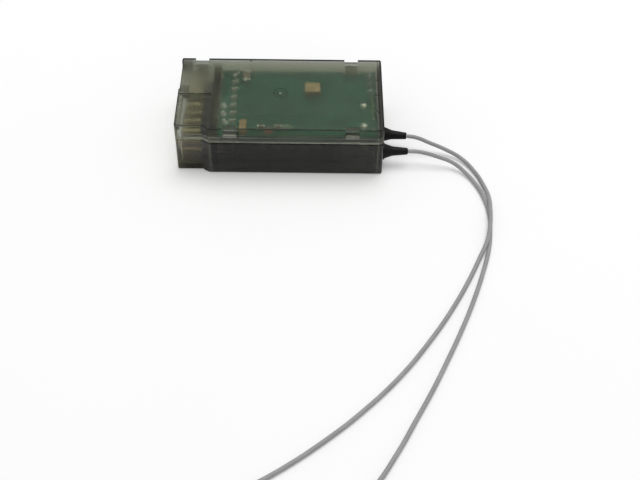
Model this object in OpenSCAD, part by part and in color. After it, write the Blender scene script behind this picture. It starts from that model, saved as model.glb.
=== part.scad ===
/* [Case] */
// Height of the lid above the parting line
lid_h = 3.8; // [3.6:0.2:5]
// Thickness of the side and end walls
wall = 1; // [0.8:0.1:1.2]
// Thickness of the floor
floor_t = 1; // [0.8:0.1:1.2]
// Thickness of the roof
roof_t = 1; // [0.8:0.1:1.2]
// Radius of the upright corners
corner_r = 0.8; // [0.5:0.1:1]
// Radius of the long edges of roof and floor
edge_r = 0.4; // [0.2:0.1:0.6]
// Depth of the shadow groove along the parting line
seam_d = 0.15; // [0.1:0.05:0.25]
// Height of that groove
seam_h = 0.25; // [0.15:0.05:0.4]
// Gap between the rims of lid and base, because the lid bears on the board
rim_gap = 0.05; // [0.03:0.01:0.1]

/* [Connector bay] */
// Length of the bay, from the left end to the partition
bay_l = 7.2; // [7:0.1:8]
// Set-back of the bay's front side
bay_inset = 1; // [0.6:0.1:1.4]
// Run of the slanted step between the bay and the main section
step_run = 1.6; // [1:0.1:2]
// Thickness of the partition
partition_t = 1.4; // [1:0.1:1.6]
// Set-back of the roof's edge over the back half of the bay
mouth_recess = 0.3; // [0.2:0.1:0.6]
// Depth of the divider rib under the roof
divider_h = 0.8; // [0.6:0.1:1]

/* [Snap fits] */
// Width of a snap window
snap_w = 2.9; // [2.4:0.1:3.4]
// Height of a snap window, down from the top of the lid
snap_h = 2.4; // [2.1:0.1:2.6]
// Thickness of a snap tongue
tongue_t = 0.8; // [0.6:0.1:0.9]
// Reach of the hook on a tongue
hook_reach = 0.7; // [0.5:0.1:0.8]
// Distance of the right-hand snaps from the right end
snap_right_in = 6.5; // [5.8:0.1:6.8]
// Distance of the back left snap from the left end
snap_back_in = 4.4; // [4.2:0.1:4.8]
// Distance of the front left snap from the left end
snap_front_in = 11.4; // [10.8:0.1:12]

/* [Servo header] */
// Number of columns, one for each plug
columns = 6; // [6:1:8]
// Pitch of the pins
pitch = 2.54; // [2.5:0.02:2.6]
// Width of a square pin
pin_w = 0.64; // [0.5:0.02:0.7]
// Thickness of the moulded block
header_t = 2.1; // [1.8:0.1:2.4]
// Bare length of the pins in the bay
pin_free = 4.1; // [3.6:0.1:4.4]
// Gap between the block and the bay's front wall
header_gap = 1.7; // [1.5:0.1:2]
// Gap between the block and the bay's back wall
header_back_gap = 3.26; // [3.2:0.02:6]
// Height of the block above the parting line
header_rise = 0.22; // [0.1:0.02:0.3]

/* [Boards] */
// Length of the main board
board_l = 32.8; // [32:0.2:40]
// Thickness of the main board
board_t = 1; // [0.8:0.1:1.2]
// Gap round the main board
board_gap = 0.3; // [0.2:0.05:0.4]
// Thickness of the radio board
radio_t = 0.8; // [0.6:0.1:1]
// Height of the radio board above the floor
radio_rise = 1.2; // [1:0.1:1.6]
// Gap between the signal pins and the radio board
radio_gap = 0.6; // [0.5:0.1:1]
// Height of the shield can
shield_h = 2.4; // [2:0.1:2.8]

/* [Antennas] */
// Diameter of the coaxial lead
cord_d = 0.85; // [0.8:0.05:1]
// Diameter of the bare tip
tip_d = 0.5; // [0.4:0.05:0.6]
// Length of a boot outside the wall
boot_len = 5.4; // [5:0.1:6]
// Radius of a boot's flare at the wall
boot_flare_r = 1.8; // [1.5:0.05:1.9]
// Height of the boots' centres above the table
boot_z = 3.4; // [3.2:0.1:3.8]
// Distance of the front boot from the front side
boot_front_in = 3.6; // [3.4:0.1:4]
// Distance between the boots
boot_pitch = 5.4; // [4.8:0.1:5.6]
// Sideways lean of the back boot's end
boot_lean = 0.6; // [0:0.1:0.6]

/* [Hidden] */
$fn = 32;

smoke = [0.46, 0.46, 0.4, 0.45];
board_green = [0.1, 0.35, 0.22];
board_black = [0.08, 0.1, 0.09];
brass = [0.8, 0.66, 0.3];
tin = [0.75, 0.76, 0.76];
black = [0.07, 0.07, 0.07];
tan = [0.72, 0.6, 0.42];
grey_jacket = [0.48, 0.48, 0.48];

header_l = columns*pitch;
header_top = floor_t + 3*pitch;
base_h = header_top - header_rise;
case_l = bay_l + partition_t + 2*board_gap + board_l + wall;
case_w = bay_inset + 2*wall + header_gap + header_l + header_back_gap;
end_l = -case_l/2;
end_r = case_l/2;
front = -case_w/2;
back = case_w/2;
top = base_h + lid_h;
roof_z = top - roof_t;
bay_front = front + bay_inset;
partition_x = end_l + bay_l;
partition_end = partition_x + partition_t;
step_x = partition_x - 0.1 - step_run;
// Sideways move of the step's two bends for each millimetre of inset
step_shift = (sqrt(bay_inset*bay_inset + step_run*step_run) - step_run)/bay_inset;
eps = 0.01;

header_x = partition_x - header_t;
header_y = bay_front + wall + header_gap + header_l/2;
pin_tip_x = header_x - pin_free;
rib_z = header_top + 0.2;
function column_y(i) = header_y + (i - (columns - 1)/2)*pitch;
function row_z(i) = floor_t + (i + 0.5)*pitch;

board_x0 = partition_end + board_gap;
board_x1 = board_x0 + board_l;
board_y1 = back - wall - board_gap;
board_z = base_h;
board_top = board_z + board_t;
hole_r = 0.5;
pin_proud = 0.6;
signal_x = board_x0 + 2.5;
ground_x = board_x0 + 0.75;
power_x = board_x0 + 1.1;
bus_x0 = partition_x + 0.4;
bus_x1 = partition_end;
bus_t = 0.4;

divider_y = header_y + 0.4;
divider_t = 0.5;
key_l = 2;
key_w = 2.2;
hold_x = 0.75;
hold_t = 0.4;
hold_pitch = 5.25;
hold_y = 0.4;
hold_back_x = partition_end + 6.2;
gate_r = 1.5;

tongue_w = snap_w - 0.2;
tongue_gap = 0.1;
tongue_z = base_h - 4.4;
window_z = top - snap_h;
tongue_top = roof_z - 0.15;
// Middle of each snap along the case, and its side: -1 for the front, 1 for the back
snaps = [
    [end_l + snap_back_in, 1],
    [end_l + snap_front_in, -1],
    [end_r - snap_right_in, 1],
    [end_r - snap_right_in, -1]
];

board_rib_w = 1;
board_rib_d = 0.8;
// Middles of the ribs that carry the main board
front_ribs = [end_r - 2.6, end_r - 8.9, partition_end + 10.5];
back_ribs = [end_r - 2.6, end_r - 8.9, partition_end + 10.5, partition_end + 2.9];

// Sizes of the parts on the main board, with the length of their end plates last
tantalum_size = [3.3, 3, 1.4, 0.2];
small_tantalum_size = [3.2, 1.4, 1.4, 0.2];
corner_ceramic_size = [3.2, 1.6, 1.2, 0.5];
ceramic_size = [1.6, 0.8, 0.7, 0.3];
resistor_size = [1.6, 0.8, 0.5, 0.3];
small_part_size = [1, 0.5, 0.4, 0.25];
processor_w = 7;
processor_h = 1.1;
leg_pitch = 0.8;
regulator_size = [4.5, 2.5, 1.5];
crystal_size = [5, 3.2, 0.8];
drop_r = 0.8;
joint_r = 0.65;
supply_joint_r = 0.7;
// Middles of the parts on the main board
tantalum_at = [board_x1 - 13.5, 3.3];
small_tantalum_at = [board_x0 + 5.1, 1.7 - board_y1];
corner_ceramic_at = [board_x0 + 5.2, board_y1 - 2.8];
small_part_at = [board_x1 - 7.2, 0.6];
ceramics_x = [board_x0 + 8.8, board_x0 + 12.4];
resistors_x = [board_x0 + 20.5, board_x0 + 23.1];
part_row_y = 2 - board_y1;
red_led_x = board_x0 + 10.4;
red_led_y = 1 - board_y1;
green_led_x = board_x0 + 14.3;
processor_at = [board_x0 + 14, 2.5];
crystal_at = [board_x0 + 6, 6.8];
regulator_at = [board_x0 + 7.65, -5.25];

radio_z = floor_t + radio_rise;
radio_top = radio_z + radio_t;
radio_x0 = signal_x + pin_w/2 + radio_gap;
radio_x1 = end_r - 9.3;
radio_y1 = back - wall - board_rib_d - 0.4;
radio_arm_y = 1.6;
radio_posts = [
    [radio_x0 + 1.6, -radio_y1 + 1.6],
    [radio_x0 + 1.6, radio_y1 - 1.6],
    [radio_x1 - 1.6, -radio_y1 + 1.6],
    [radio_x1 - 1.6, radio_y1 - 1.6]
];
post_r = 1;
spigot_r = 0.45;
shield_x0 = radio_x0 + 5;
shield_x1 = radio_x1 - 3.4;
shield_l = shield_x1 - shield_x0;
shield_wall = 0.25;
shield_x = (shield_x0 + shield_x1)/2;
shield_y = -1.5;
// Parts under the shield can, and the gaps beside and between them
radio_chip_w = 5;
radio_crystal_size = [3.2, 2.5, 0.8];
shield_side = 1.2;
shield_part_gap = 1.1;
shield_w = radio_chip_w + radio_crystal_size[1] + shield_part_gap + 2*shield_side;
radio_chip_y = shield_y - shield_w/2 + shield_side + radio_chip_w/2;
radio_crystal_y = shield_y + shield_w/2 - shield_side - radio_crystal_size[1];
vent_pitch = [2.4, 4];
vent_r = 0.35;
notch_pitch = 3;
notch_size = 1;

link_x = board_x1 - 1.2;
link_y = back - 5.7;
link_block = [2, 3*pitch, 2.5];

boot_front_y = front + boot_front_in;
boot_back_y = boot_front_y + boot_pitch;
boot_gap = 0.05;
boot_neck_r = 1.25;
boot_flange_r = 1.8;
boot_flange_t = 0.6;
boot_base_t = 0.4;
flare_l = 1.7;
sleeve_r = 1;
sleeve_end_r = 0.72;
boot_bore_r = cord_d/2 + 0.08;
pad_x = board_x1 - 2.7;
pad_front_y = front + 4.1;
pad_back_y = pad_front_y + 6.4;
lead_hole_r = cord_d/2 + 0.12;

// The jackets of the two antennas, from the boots to their stripped ends
BACK_ROUTE = [
    [26.95, -3.2, 3.4], [29, -3.52, 3.26], [31.8, -4.15, 2.4], [34.9, -5, 1.5], [38.3, -7, 0.8],
    [40.9, -10.6, 0.45], [42.4, -14.6, 0.5], [43.2, -18.8, 0.9], [43.1, -23.2, 1.35],
    [42.6, -27.6, 1.35], [41.6, -31.7, 1.1], [39.9, -35.5, 0.55], [37.3, -41.3, 0.45],
    [33.4, -48.8, 0.45], [29, -56, 0.45], [23.3, -64, 0.45], [16.5, -71.6, 0.45],
    [9.7, -77.9, 0.45], [2, -83.9, 0.45], [-5, -88.4, 0.45]
];
FRONT_ROUTE = [
    [26.95, -8, 3.4], [29.4, -8.1, 3.32], [33.2, -8.6, 2.5], [36.6, -9.5, 1.55], [39.1, -11.6, 0.7],
    [40.9, -14.6, 0.45], [42.2, -18.4, 0.45], [42.9, -23, 0.45], [42.7, -28, 0.45],
    [41.9, -33.2, 0.45], [40.4, -38.6, 0.45], [37.8, -46.3, 0.45], [34.9, -53.6, 0.45],
    [31.8, -60.6, 0.45], [28.7, -67.2, 0.45], [25.4, -73.6, 0.45], [21.7, -80.6, 0.45],
    [17.4, -87.4, 0.45], [11.6, -93.4, 0.45], [4.6, -97.8, 0.45], [-3, -100.4, 0.45]
];
// The bare tips, from the stripped ends on
BACK_TIP = [[-5, -88.4, 0.45], [-12.6, -93.2, 0.4], [-22.5, -95.8, 0.3], [-33, -96.6, 0.3]];
FRONT_TIP = [[-3, -100.4, 0.45], [-12.2, -103.2, 0.4], [-22.2, -104.5, 0.3], [-32.3, -104.2, 0.3]];
cord_sides = 8;

// Point at t between b and c of a smooth curve through a, b, c and d
function curve_point(a, b, c, d, t) =
    0.5*(2*b + (c - a)*t + (2*a - 5*b + 4*c - d)*t*t + (3*b - a - 3*c + d)*t*t*t);
// The same route with one more ring between every two points
function smooth(route) = let (n = len(route) - 1) [
    for (i = [0:n], t = (i < n) ? [0, 0.5] : [0])
        curve_point(
            (i > 0) ? route[i - 1] : 2*route[0] - route[1],
            route[i],
            (i < n) ? route[i + 1] : route[n],
            (i < n - 1) ? route[i + 2] : 2*route[n] - route[n - 1],
            t
        )
];
function unit(v) = v/norm(v);
// Rings round the points of a route, square to it
function tube_points(route, r, aside) = [
    for (i = [0:len(route) - 1])
        let (
            along = unit(route[min(i + 1, len(route) - 1)] - route[max(i - 1, 0)]),
            u = unit(cross(aside, along)),
            v = cross(along, u)
        )
        for (k = [0:cord_sides - 1])
            route[i] + r*cos(360*k/cord_sides)*u + r*sin(360*k/cord_sides)*v
];

module tube(route, d, aside = [0, 0, 1]) {
    last = (len(route) - 1)*cord_sides;
    polyhedron(
        points = tube_points(route, d/2, aside),
        faces = concat(
            [[for (k = [0:cord_sides - 1]) cord_sides - 1 - k]],
            [[for (k = [0:cord_sides - 1]) last + k]],
            [for (i = [0:len(route) - 2], k = [0:cord_sides - 1], upper = [false, true])
                let (
                    a = i*cord_sides + k,
                    b = i*cord_sides + (k + 1)%cord_sides
                )
                upper ? [a, b + cord_sides, a + cord_sides] : [a, b, b + cord_sides]
            ]
        )
    );
}

// Plan of the case, drawn in by inset all round
module case_plan(inset = 0) {
    x0 = end_l + inset;
    x1 = end_r - inset;
    y0 = front + inset;
    y1 = back - inset;
    yb = bay_front + inset;
    r = max(corner_r - inset, 0.3);
    s0 = step_x + inset*step_shift;
    s1 = s0 + step_run;
    polygon([
        [x0 + r, yb], [s0, yb], [s1, y0], [x1 - r, y0], [x1, y0 + r],
        [x1, y1 - r], [x1 - r, y1], [x0 + r, y1], [x0, y1 - r], [x0, yb + r]
    ]);
    for (corner = [[x0 + r, yb + r], [x1 - r, y0 + r], [x1 - r, y1 - r], [x0 + r, y1 - r]])
        translate(corner) circle(r);
}

// Upright section from a to b with its two top corners rounded
module edge_section(a, b, h) {
    translate([a, 0]) square([b - a, h - edge_r]);
    translate([a + edge_r, 0]) square([b - a - 2*edge_r, h]);
    translate([a + edge_r, h - edge_r]) circle(edge_r);
    translate([b - edge_r, h - edge_r]) circle(edge_r);
}

// Solid block with the plan of the case and rounded top edges
module case_block(h) {
    intersection() {
        linear_extrude(h) case_plan();
        translate([0, case_w, 0]) rotate([90, 0, 0])
            linear_extrude(2*case_w) edge_section(end_l, end_r, h);
        union() {
            translate([step_x, 0, 0]) rotate([90, 0, 90])
                linear_extrude(case_l) edge_section(front, back, h);
            translate([end_l - 1, 0, 0]) rotate([90, 0, 90])
                linear_extrude(step_x - end_l + 1) edge_section(bay_front, back, h);
        }
    }
}

// Keeps a rib inside the outer faces of the case
module inside_case() {
    intersection() {
        translate([0, 0, -1]) linear_extrude(top + 2) case_plan(wall/2);
        children();
    }
}

module snap_tongue(side) {
    face = back - wall - tongue_gap;
    mirror([0, (side < 0) ? 1 : 0, 0]) translate([-tongue_w/2, face - tongue_t, 0]) {
        translate([0, 0, tongue_z]) cube([tongue_w, tongue_t, tongue_top - tongue_z]);
        // Root of the tongue in the wall of the base
        translate([0, 0, tongue_z])
            cube([tongue_w, tongue_t + tongue_gap + wall/2, base_h - tongue_z - seam_h]);
        // Hook that bears on the sill of the window
        translate([0, tongue_t, window_z + 0.1]) rotate([90, 0, 90]) linear_extrude(tongue_w)
            polygon([[-eps, 0], [hook_reach, 0], [hook_reach, 0.35], [-eps, 1.1]]);
    }
}

module base_shell() color(smoke) {
    difference() {
        union() {
            difference() {
                translate([0, 0, base_h]) mirror([0, 0, 1]) case_block(base_h);
                translate([0, 0, floor_t]) linear_extrude(base_h) case_plan(wall);
                // Shadow groove along the rim
                translate([0, 0, base_h - seam_h]) difference() {
                    translate([end_l - 1, front - 1, 0]) cube([case_l + 2, case_w + 2, 1]);
                    translate([0, 0, -1]) linear_extrude(3) case_plan(seam_d);
                }
            }
            inside_case() partition_fins();
            board_ribs();
            radio_posts();
        }
        // Mouth of the connector bay
        translate([end_l - 1, bay_front + wall, floor_t])
            cube([1 + wall + eps, case_w - bay_inset - 2*wall, base_h]);
        for (y = [boot_front_y, boot_back_y])
            translate([end_r - wall - 1, y, boot_z]) rotate([0, 90, 0])
                cylinder(h = wall + 2, r = boot_neck_r + boot_gap);
    }
    for (s = snaps)
        translate([s[0], 0, 0]) snap_tongue(s[1]);
}

// Stub walls that the ends of the header block stand against
module partition_fins() {
    lap = 0.6;
    fin_z = floor_t - 0.1;
    fin_h = header_top - 0.3 - fin_z;
    translate([partition_x, front, fin_z])
        cube([partition_t, header_y - header_l/2 + lap - front, fin_h]);
    translate([partition_x, header_y + header_l/2 - lap, fin_z])
        cube([partition_t, back - header_y - header_l/2 + lap, fin_h]);
}

module board_ribs() {
    for (side = [-1, 1])
        for (x = (side < 0) ? front_ribs : back_ribs)
            translate([x - board_rib_w/2, side*(back - wall + 0.1), floor_t - 0.1])
                mirror([0, (side > 0) ? 1 : 0, 0])
                    cube([board_rib_w, board_rib_d + 0.1, base_h - floor_t + 0.1]);
}

module radio_posts() {
    for (p = radio_posts)
        translate([p[0], p[1], floor_t - 0.1]) {
            cylinder(h = radio_rise + 0.1, r = post_r);
            cylinder(h = radio_rise + radio_t + 0.4, r = spigot_r);
        }
}

module lid() color(smoke) {
    difference() {
        union() {
            difference() {
                translate([0, 0, base_h + rim_gap]) case_block(lid_h - rim_gap);
                translate([0, 0, base_h - 1]) linear_extrude(lid_h - roof_t + 1) case_plan(wall);
            }
            inside_case() lid_ribs();
        }
        // Mouth of the connector bay
        translate([end_l - 1, bay_front + wall, base_h - 1])
            cube([1 + wall + eps, case_w - bay_inset - 2*wall, roof_z - base_h + 1 - divider_h]);
        translate([end_l - 1, bay_front + wall, base_h - 1])
            cube([1 + mouth_recess, case_w - bay_inset - 2*wall, roof_z - base_h + 1]);
        translate([end_l - 1, divider_y + 1, base_h])
            cube([1 + mouth_recess, back - wall - divider_y - 1, lid_h + 1]);
        for (s = snaps)
            translate([s[0] - snap_w/2, (s[1] > 0) ? back - wall : front - 1, window_z])
                cube([snap_w, wall + 1, snap_h + 1]);
        // Dish of the moulding gate
        translate([0, 0, top - 0.12]) cylinder(h = 1, r = gate_r);
    }
    translate([0, 0, top - 0.2]) cylinder(h = 0.16, r = 0.3);
}

module lid_ribs() {
    // Upper half of the partition
    translate([partition_x, front, rib_z]) cube([partition_t, case_w, roof_z + 0.1 - rib_z]);
    // Divider between the plugs
    translate([end_l, divider_y - divider_t/2, roof_z - divider_h])
        cube([bay_l + 0.1, divider_t, divider_h + 0.1]);
    translate([end_l + mouth_recess, divider_y, roof_z - divider_h])
        cube([key_l, key_w, divider_h + 0.1]);
    translate([end_l + mouth_recess, back - 2*wall, roof_z - divider_h])
        cube([key_l, 2*wall, divider_h + 0.1]);
    // Ribs that hold the main board down
    for (i = [-1:1])
        translate([end_r - wall - hold_x, hold_y + i*hold_pitch - hold_t/2, board_top])
            cube([hold_x + 0.1, hold_t, roof_z + 0.1 - board_top]);
    translate([hold_back_x - hold_t/2, back - wall - hold_x, board_top])
        cube([hold_t, hold_x + 0.1, roof_z + 0.1 - board_top]);
}

module main_board() color(board_green) {
    difference() {
        translate([board_x0, -board_y1, board_z])
            cube([board_x1 - board_x0, 2*board_y1, board_t]);
        for (s = snaps)
            translate([s[0], s[1]*board_y1, board_z + board_t/2])
                cube([snap_w + 0.4, 2*(tongue_t + 0.2), board_t + 1], center = true);
        for (i = [0:columns - 1])
            board_hole(signal_x, column_y(i), hole_r);
        board_hole(power_x, column_y(0), hole_r);
        for (i = [1, 2])
            board_hole(ground_x, column_y(i), hole_r);
        for (i = [-1:1])
            board_hole(link_x, link_y + i*pitch, hole_r);
        for (y = [pad_front_y, pad_back_y])
            board_hole(pad_x, y, lead_hole_r);
    }
}

module board_hole(x, y, r) {
    translate([x, y, board_z - 1]) cylinder(h = board_t + 2, r = r);
}

module header_block() color(black) {
    difference() {
        translate([header_x, header_y - header_l/2, floor_t]) cube([header_t, header_l, 3*pitch]);
        for (i = [0:columns - 1], j = [0:2])
            translate([header_x - 1, column_y(i) - pin_w/2, row_z(j) - pin_w/2])
                cube([header_t + 2, pin_w, pin_w]);
        // Notches between the columns and rows
        for (i = [1:columns - 1], x = [header_x, header_x + header_t])
            translate([x, header_y - header_l/2 + i*pitch, floor_t - 1]) rotate([0, 0, 45])
                translate([-0.2, -0.2, 0]) cube([0.4, 0.4, 3*pitch + 2]);
        for (j = [1, 2])
            translate([header_x, header_y - header_l/2 - 1, floor_t + j*pitch]) rotate([0, 45, 0])
                translate([-0.2, 0, -0.2]) cube([0.4, header_l + 2, 0.4]);
    }
}

// Outline of one pin, tapered at its tip, straight or bent up through the board
module pin_outline(z, end_x, up) {
    h = pin_w/2;
    tip = 0.4;
    bend = up ? 0.25 : 0;
    rise = board_top + pin_proud;
    polygon(concat(
        [[pin_tip_x, z + h/2], [pin_tip_x, z - h/2], [pin_tip_x + tip, z - h]],
        up ? [
            [end_x + h - bend, z - h], [end_x + h, z - h + bend], [end_x + h, rise],
            [end_x - h, rise], [end_x - h, z + h]
        ] : [[end_x, z - h], [end_x, z + h]],
        [[pin_tip_x + tip, z + h]]
    ));
}

module pin(column, row, end_x, up) {
    translate([0, column_y(column) + pin_w/2, 0]) rotate([90, 0, 0])
        linear_extrude(pin_w) pin_outline(row_z(row), end_x, up);
}

module signal_pins() color(brass)
    for (i = [0:columns - 1])
        pin(i, 0, signal_x, true);

module power_pins() color(brass)
    for (i = [0:columns - 1])
        pin(i, 1, (i == 0) ? power_x : bus_x1, i == 0);

module ground_pins() color(brass)
    for (i = [0:columns - 1])
        pin(i, 2, (i == 1 || i == 2) ? ground_x : bus_x1, i == 1 || i == 2);

// Strip that joins one row of pins behind the header block
module bus_strip(row) {
    translate([bus_x0, column_y(0) - pin_w/2, row_z(row) - pin_w/2 - bus_t])
        cube([bus_x1 - bus_x0, header_l - pitch + pin_w, bus_t]);
}

module power_bus() color(tin) bus_strip(1);

module ground_bus() color(tin) bus_strip(2);

// Cone of solder round a square pin that stands out of the board
module solder_cone(r, h) {
    difference() {
        cylinder(h = h, r1 = r, r2 = r*0.5);
        translate([-pin_w/2, -pin_w/2, -1]) cube([pin_w, pin_w, h + 2]);
    }
}

// Low round drop of solder
module solder_drop(r, h) {
    rotate_extrude() polygon(concat(
        [[0, 0], [r, 0]],
        [for (a = [15:15:75]) [r*cos(a), h*sin(a)]],
        [[0, h]]
    ));
}

module signal_solder() color(tin) {
    for (i = [0:columns - 1])
        translate([signal_x, column_y(i), board_top]) {
            solder_cone(joint_r, 0.45);
            difference() {
                joint_tail();
                translate([-pin_w/2, -pin_w/2, -1]) cube([pin_w, pin_w, 3]);
            }
        }
    // Spare joint at the back end of the column
    translate([signal_x, column_y(columns), board_top]) {
        solder_drop(joint_r, 0.4);
        joint_tail();
    }
}

// Small drop that runs out of a joint to its track
module joint_tail() {
    translate([joint_r, joint_r, 0]) cylinder(h = 0.22, r1 = 0.45, r2 = 0.3);
}

module supply_solder() color(tin) {
    translate([power_x, column_y(0), board_top]) solder_cone(supply_joint_r, 0.55);
    for (i = [1, 2])
        translate([ground_x, column_y(i), board_top]) solder_cone(supply_joint_r, 0.55);
}

// Moulded chip part with wrapped end plates
module chip_part(size) {
    plate = size[3];
    translate([-size[0]/2, -size[1]/2, 0]) {
        translate([plate, 0, 0.05]) cube([size[0] - 2*plate, size[1], size[2] - 0.05]);
        for (x = [0, size[0] - plate - 0.05])
            translate([x, 0.1, 0]) cube([plate + 0.05, size[1] - 0.2, size[2] - 0.15]);
    }
}

module tantalum_capacitor() color(tan)
    translate([tantalum_at[0], tantalum_at[1], board_top]) chip_part(tantalum_size);

module small_tantalum() color(tan)
    translate([small_tantalum_at[0], small_tantalum_at[1], board_top]) rotate([0, 0, 90])
        chip_part(small_tantalum_size);

module ceramic_capacitors() color(tan) {
    translate([corner_ceramic_at[0], corner_ceramic_at[1], board_top]) rotate([0, 0, 90])
        chip_part(corner_ceramic_size);
    for (x = ceramics_x)
        translate([x, part_row_y, board_top]) chip_part(ceramic_size);
}

module chip_resistors() color(black) {
    translate([small_part_at[0], small_part_at[1], board_top]) chip_part(small_part_size);
    // Two more on the underside
    for (x = resistors_x)
        translate([x, part_row_y, board_z]) mirror([0, 0, 1]) chip_part(resistor_size);
}

// Small lamp: a flat base with a block of clear resin on it
module led() {
    translate([-0.8, -0.4, 0]) cube([1.6, 0.8, 0.35]);
    translate([-0.45, -0.4, 0.3]) cube([0.9, 0.8, 0.35]);
}

module red_led() color("darkred")
    translate([red_led_x, red_led_y, board_top]) led();

module green_led() color("darkgreen")
    translate([green_led_x, part_row_y, board_top]) led();

// Square moulded chip, face down, with legs on its four sides
module legged_chip(side, h) {
    leg_w = 0.35;
    legs = floor((side - leg_w)/leg_pitch);
    translate([-side/2, -side/2, -h - 0.1]) cube([side, side, h]);
    for (turn = [0:90:270], i = [0:legs - 1])
        rotate([0, 0, turn]) translate([side/2, (i - (legs - 1)/2)*leg_pitch - leg_w/2, 0]) {
            translate([-eps, 0, -h/2 - 0.2]) cube([0.5, leg_w, 0.15]);
            translate([0.35, 0, -h/2 - 0.2]) cube([0.15, leg_w, h/2 + 0.2]);
            translate([0.35, 0, -0.15]) cube([0.7, leg_w, 0.15]);
        }
}

module processor_chip() color(black)
    translate([processor_at[0], processor_at[1], board_z]) legged_chip(processor_w, processor_h);

module voltage_regulator() color(black)
    translate([regulator_at[0], regulator_at[1], board_z]) {
        translate([-regulator_size[0]/2, -regulator_size[1]/2, -regulator_size[2] - 0.1])
            cube(regulator_size);
        for (i = [-1:1])
            translate([i*1.5 - 0.2, -regulator_size[1]/2 - 1, -0.4]) cube([0.4, 1.1, 0.4]);
        translate([-0.8, regulator_size[1]/2 - 0.1, -0.4]) cube([1.6, 1, 0.4]);
    }

module processor_crystal() color(tin)
    translate([crystal_at[0], crystal_at[1], board_z]) {
        translate([-crystal_size[0]/2, -crystal_size[1]/2, -crystal_size[2] - 0.1])
            cube(crystal_size);
        translate([-crystal_size[0]/2 - 0.3, -crystal_size[1]/2 - 0.3, -0.15])
            cube([crystal_size[0] + 0.6, crystal_size[1] + 0.6, 0.15]);
    }

module radio_board() color(board_black) {
    difference() {
        union() {
            translate([radio_x0, -radio_y1, radio_z])
                cube([radio_x1 - radio_x0, 2*radio_y1, radio_t]);
            translate([radio_x1 - 1, radio_arm_y, radio_z])
                cube([board_x1 - radio_x1 + 1, radio_y1 - radio_arm_y, radio_t]);
        }
        for (p = radio_posts)
            translate([p[0], p[1], radio_z - 1]) cylinder(h = radio_t + 2, r = spigot_r + 0.05);
        for (i = [-1:1])
            translate([link_x, link_y + i*pitch, radio_z - 1]) cylinder(h = radio_t + 2, r = hole_r);
    }
}

module radio_shield() color(tin) {
    translate([shield_x0, shield_y - shield_w/2, radio_top]) difference() {
        cube([shield_l, shield_w, shield_h]);
        translate([shield_wall, shield_wall, -1])
            cube([shield_l - 2*shield_wall, shield_w - 2*shield_wall, shield_h - shield_wall + 1]);
        for (i = [0:3], j = [0:1])
            translate([shield_l/2 + (i - 1.5)*vent_pitch[0], shield_w/2 + (j - 0.5)*vent_pitch[1], 0])
                cylinder(h = shield_h + 1, r = vent_r);
        for (i = [0:3])
            translate([shield_l/2 + (i - 1.5)*notch_pitch - notch_size/2, -1, -1])
                cube([notch_size, shield_w + 2, 1.4]);
    }
}

module radio_chip() color(black)
    translate([shield_x, radio_chip_y, radio_top]) {
        translate([-radio_chip_w/2, -radio_chip_w/2, 0.05])
            cube([radio_chip_w, radio_chip_w, 0.85]);
        translate([0.2 - radio_chip_w/2, 0.2 - radio_chip_w/2, 0])
            cube([radio_chip_w - 0.4, radio_chip_w - 0.4, 0.1]);
    }

module radio_crystal() color(tin)
    translate([shield_x - radio_crystal_size[0]/2, radio_crystal_y, radio_top]) {
        cube([radio_crystal_size[0], radio_crystal_size[1], 0.5]);
        translate([0.15, 0.15, 0.4])
            cube([radio_crystal_size[0] - 0.3, radio_crystal_size[1] - 0.3, radio_crystal_size[2] - 0.4]);
    }

module link_header() color(black)
    difference() {
        translate([link_x - link_block[0]/2, link_y - link_block[1]/2, radio_top]) cube(link_block);
        for (i = [-1:1])
            translate([link_x - pin_w/2, link_y + i*pitch - pin_w/2, radio_top - 1])
                cube([pin_w, pin_w, link_block[2] + 2]);
    }

module link_pins() color(brass)
    for (i = [-1:1])
        translate([link_x - pin_w/2, link_y + i*pitch - pin_w/2, radio_z - pin_proud])
            cube([pin_w, pin_w, board_top - radio_z + 2*pin_proud]);

module link_solder() color(tin)
    for (i = [-1:1]) {
        translate([link_x, link_y + i*pitch, board_top]) solder_cone(0.6, 0.45);
        translate([link_x, link_y + i*pitch, radio_z]) mirror([0, 0, 1]) solder_cone(0.6, 0.45);
    }

// Route of a lead from the end of its boot to its pad
function lead_route(y, pad_y, lean) = [
    [end_r + boot_len, y - lean, boot_z], [end_r + boot_gap, y, boot_z],
    [end_r - wall - boot_flange_t, y, boot_z], [end_r - wall - 1.1, y, boot_z],
    [pad_x + 0.45, y + (pad_y - y)*0.4, boot_z + 0.9],
    [pad_x, pad_y, boot_z + 3.2], [pad_x, pad_y, board_z - 0.4], [pad_x, pad_y, board_top]
];

module coax_lead(y, pad_y, lean) {
    tube(smooth(lead_route(y, pad_y, lean)), cord_d, [0, 1, 0]);
}

module coax_lead_back() color(grey_jacket) coax_lead(boot_back_y, pad_back_y, boot_lean);

module coax_lead_front() color(grey_jacket) coax_lead(boot_front_y, pad_front_y, 0);

module coax_solder_back() color(tin)
    translate([pad_x, pad_back_y, board_top]) solder_drop(drop_r, 0.6);

module coax_solder_front() color(tin)
    translate([pad_x, pad_front_y, board_top]) solder_drop(drop_r, 0.6);

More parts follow.
